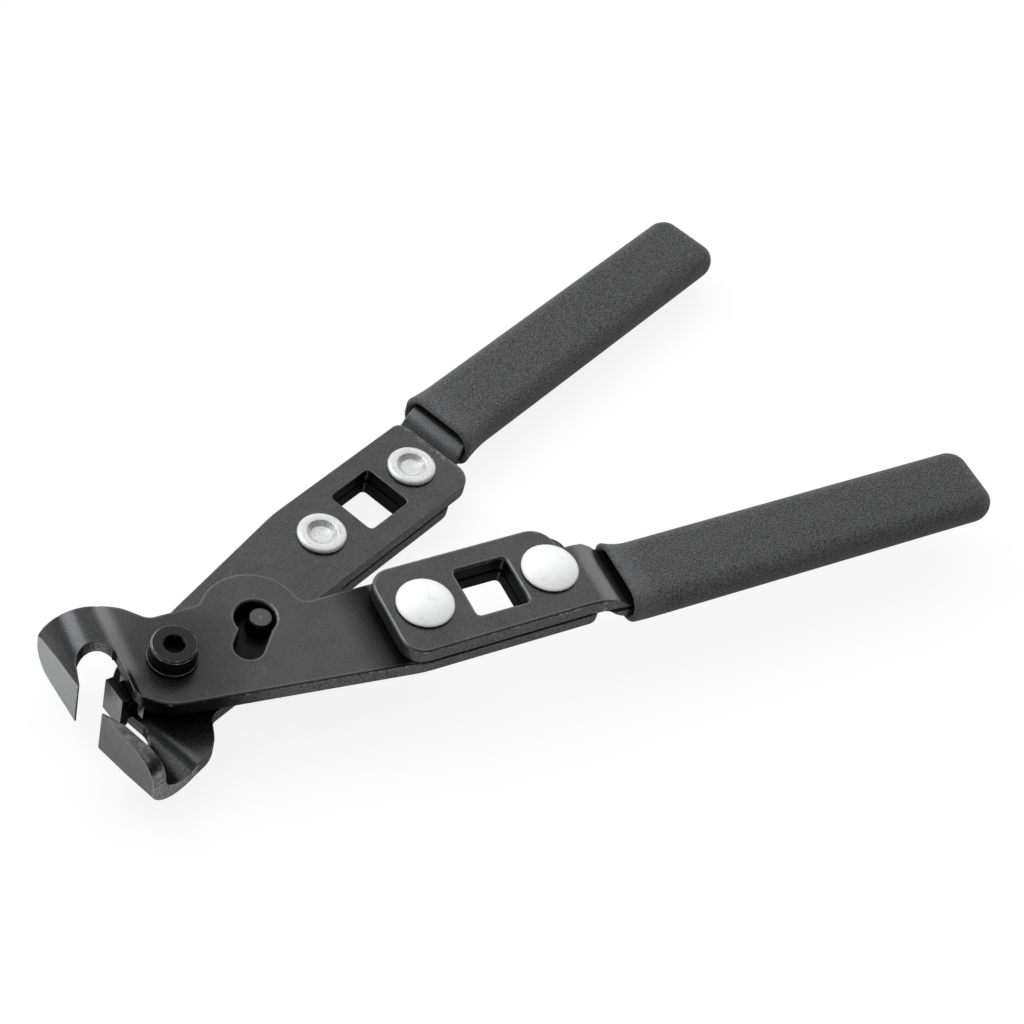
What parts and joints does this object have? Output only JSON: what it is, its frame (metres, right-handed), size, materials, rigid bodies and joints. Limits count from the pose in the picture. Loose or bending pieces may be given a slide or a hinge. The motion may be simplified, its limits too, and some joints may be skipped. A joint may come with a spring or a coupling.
{
  "type": "ear clamp pliers",
  "caption": "Compound pliers with curled, notched pinching jaws, a cam driven anvil between them, riveted handles with square drive holes and soft grip sleeves.",
  "frame": {"origin": "bottom centre of the bounding box, with the tool lying flat", "axes": "+X runs along the bisector of the open handles from the jaws to the grips, +Z is along the pivot axis towards the screw's head, +Y is towards the lower lever's handle"},
  "size_m": [0.2176, 0.1212, 0.0278],
  "materials": {
    "black_steel": "black oxide plate steel, satin, burnished at the bends",
    "dark_steel": "dark hardened steel with worn bright edges",
    "bright_steel": "bare satin steel rivets",
    "grip_foam": "matt grey foam sleeve with a fine speckle"
  },
  "bodies": {
    "pivot": {"pivot_screw": "dark_steel", "pivot_washer_top": "dark_steel", "pivot_washer_bottom": "dark_steel", "pivot_nut": "dark_steel", "pivot_sleeve": "dark_steel"},
    "upper_handle": {"jaw_lever_upper": "black_steel", "handle_tang_upper": "black_steel", "grip_sleeve_upper": "grip_foam", "tang_rivet_upper_front": "bright_steel", "tang_rivet_upper_rear": "bright_steel"},
    "lower_handle": {"jaw_lever_lower": "black_steel", "handle_tang_lower": "black_steel", "grip_sleeve_lower": "grip_foam", "tang_rivet_lower_front": "bright_steel", "tang_rivet_lower_rear": "bright_steel"},
    "anvil": {"anvil_slide": "dark_steel", "cam_pin": "dark_steel"}
  },
  "joints": [
    {"name": "upper_handle_swing", "type": "hinge", "parent": "pivot", "child": "upper_handle", "pos_m": [-0.08883, 0, 0.0139], "axis": [0, 0, 1], "range_deg": [0, 11.5]},
    {"name": "lower_handle_swing", "type": "hinge", "parent": "pivot", "child": "lower_handle", "pos_m": [-0.08883, 0, 0.0139], "axis": [0, 0, -1], "range_deg": [0, 11.5]},
    {"name": "anvil_travel", "type": "slide", "parent": "pivot", "child": "anvil", "axis": [-1, 0, 0], "range_m": [0, 0.0042]}
  ],
  "couplings": [
    {"joint": "lower_handle_swing", "follows": "upper_handle_swing", "ratio": 1},
    {"joint": "anvil_travel", "follows": "upper_handle_swing", "m_per_rad": 0.020925}
  ]
}
